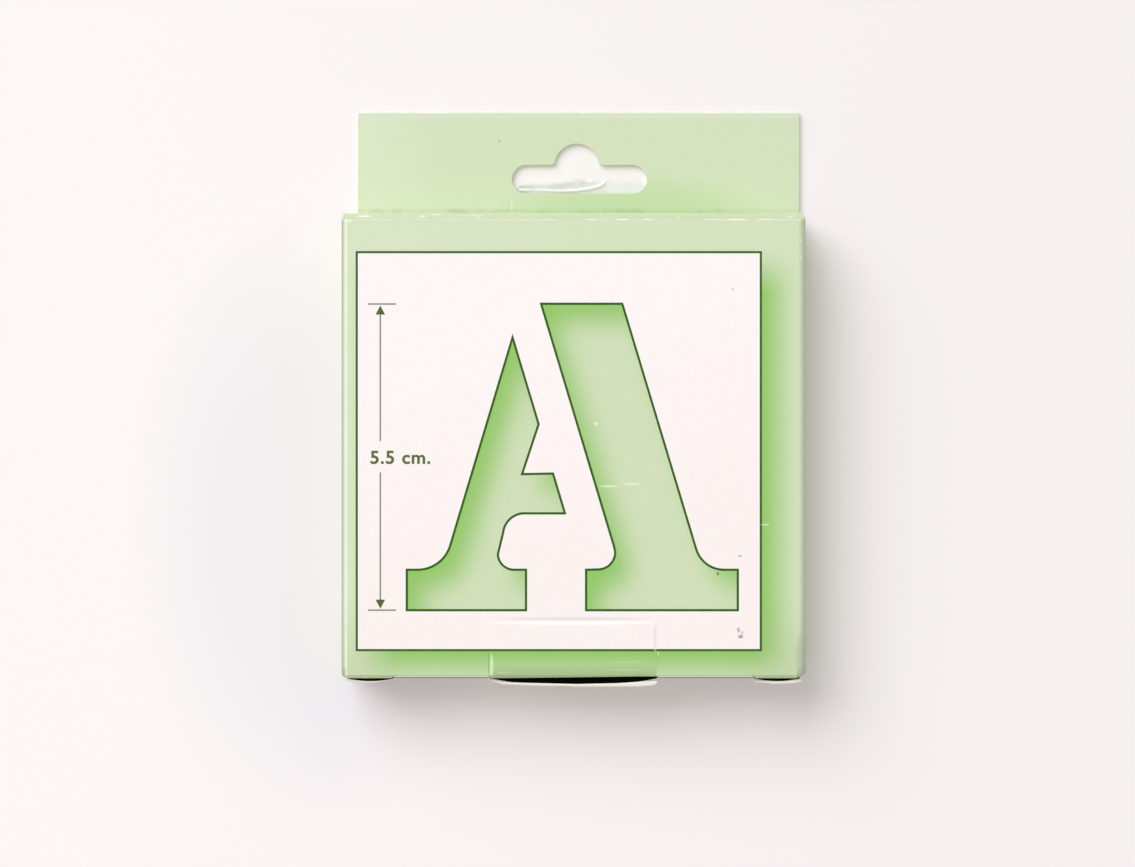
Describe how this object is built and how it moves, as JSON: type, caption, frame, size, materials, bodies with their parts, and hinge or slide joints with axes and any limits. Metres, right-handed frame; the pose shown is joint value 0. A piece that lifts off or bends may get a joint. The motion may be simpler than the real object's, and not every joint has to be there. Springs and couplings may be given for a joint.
{
  "type": "boxed set of lettering stencils",
  "caption": "Small folding carton with a hang-tab header and tuck ends, holding a stack of square card stencils, each with a slab-serif capital letter cut through it.",
  "frame": {"origin": "centre of the carton body's back face, which lies on the table", "axes": "+X to the right and +Y up on the printed front, +Z out of the front"},
  "size_m": [0.0834, 0.1045, 0.0132],
  "materials": {
    "printed_board": "thin folding boxboard, printed green and glossy outside, bare white inside",
    "plain_board": "thin folding boxboard, unprinted white",
    "stencil_card": "smooth matt manila card, die cut"
  },
  "bodies": {
    "carton": {"front_panel": "printed_board", "left_side_panel": "printed_board", "right_side_panel": "printed_board", "back_inner_panel": "plain_board", "outer_back_panel": "printed_board", "header_front_layer": "printed_board"},
    "lid": {"lid": "printed_board"},
    "tuck": {"tuck_flap": "printed_board"},
    "top_left_flap": {"top_left_flap": "plain_board"},
    "top_right_flap": {"top_right_flap": "plain_board"},
    "closing_panel": {"closing_panel": "plain_board"},
    "tongue": {"tongue": "plain_board"},
    "bottom_left_flap": {"bottom_left_flap": "plain_board"},
    "bottom_right_flap": {"bottom_right_flap": "plain_board"},
    "left_lug": {"left_lug": "plain_board"},
    "right_lug": {"right_lug": "plain_board"},
    "stencil_stack": {"stencil_a": "stencil_card", "stencil_b": "stencil_card", "stencil_c": "stencil_card", "stencil_d": "stencil_card", "stencil_e": "stencil_card", "stencil_f": "stencil_card", "stencil_g": "stencil_card", "stencil_h": "stencil_card", "stencil_i": "stencil_card", "stencil_j": "stencil_card", "stencil_k": "stencil_card", "stencil_l": "stencil_card", "stencil_m": "stencil_card", "stencil_n": "stencil_card", "stencil_n_tilde": "stencil_card", "stencil_o": "stencil_card", "stencil_p": "stencil_card", "stencil_q": "stencil_card", "stencil_r": "stencil_card", "stencil_s": "stencil_card", "stencil_t": "stencil_card", "stencil_u": "stencil_card", "stencil_v": "stencil_card", "stencil_w": "stencil_card", "stencil_x": "stencil_card", "stencil_y": "stencil_card", "stencil_z": "stencil_card"}
  },
  "joints": [
    {"name": "lid_hinge", "type": "hinge", "parent": "carton", "child": "lid", "pos_m": [0, 0.04165, 0.00105], "axis": [-1, 0, 0], "range_deg": [0, 90]},
    {"name": "tuck_crease", "type": "hinge", "parent": "lid", "child": "tuck", "pos_m": [0, 0.0407, 0.0123], "axis": [-1, 0, 0], "range_deg": [-45, 0]},
    {"name": "top_left_crease", "type": "hinge", "parent": "carton", "child": "top_left_flap", "pos_m": [-0.0415, 0.04085, 0.006], "axis": [0, 0, 1], "range_deg": [0, 72]},
    {"name": "top_right_crease", "type": "hinge", "parent": "carton", "child": "top_right_flap", "pos_m": [0.0415, 0.04085, 0.006], "axis": [0, 0, -1], "range_deg": [0, 72]},
    {"name": "closing_hinge", "type": "hinge", "parent": "carton", "child": "closing_panel", "pos_m": [0, -0.04165, 0.0006], "axis": [1, 0, 0], "range_deg": [0, 90]},
    {"name": "tongue_crease", "type": "hinge", "parent": "closing_panel", "child": "tongue", "pos_m": [0, -0.04145, 0.012], "axis": [1, 0, 0], "range_deg": [-45, 0]},
    {"name": "bottom_left_crease", "type": "hinge", "parent": "carton", "child": "bottom_left_flap", "pos_m": [-0.0415, -0.04085, 0.006], "axis": [0, 0, -1], "range_deg": [0, 72]},
    {"name": "bottom_right_crease", "type": "hinge", "parent": "carton", "child": "bottom_right_flap", "pos_m": [0.0415, -0.04085, 0.006], "axis": [0, 0, 1], "range_deg": [0, 72]},
    {"name": "left_lug_crease", "type": "hinge", "parent": "carton", "child": "left_lug", "pos_m": [-0.0237, -0.04155, 0.013], "axis": [-1, 0, 0], "range_deg": [0, 90]},
    {"name": "right_lug_crease", "type": "hinge", "parent": "carton", "child": "right_lug", "pos_m": [0.0237, -0.04155, 0.013], "axis": [-1, 0, 0], "range_deg": [0, 90]},
    {"name": "stack_shift", "type": "slide", "parent": "carton", "child": "stencil_stack", "axis": [0, 1, 0], "range_m": [-0.0011, 0.0011]}
  ],
  "couplings": [
    {"joint": "tuck_crease", "follows": "lid_hinge", "ratio": -0.5},
    {"joint": "top_left_crease", "follows": "lid_hinge", "ratio": 0.8},
    {"joint": "top_right_crease", "follows": "lid_hinge", "ratio": 0.8},
    {"joint": "tongue_crease", "follows": "closing_hinge", "ratio": -0.5},
    {"joint": "bottom_left_crease", "follows": "closing_hinge", "ratio": 0.8},
    {"joint": "bottom_right_crease", "follows": "closing_hinge", "ratio": 0.8},
    {"joint": "left_lug_crease", "follows": "closing_hinge", "ratio": 1},
    {"joint": "right_lug_crease", "follows": "closing_hinge", "ratio": 1}
  ]
}
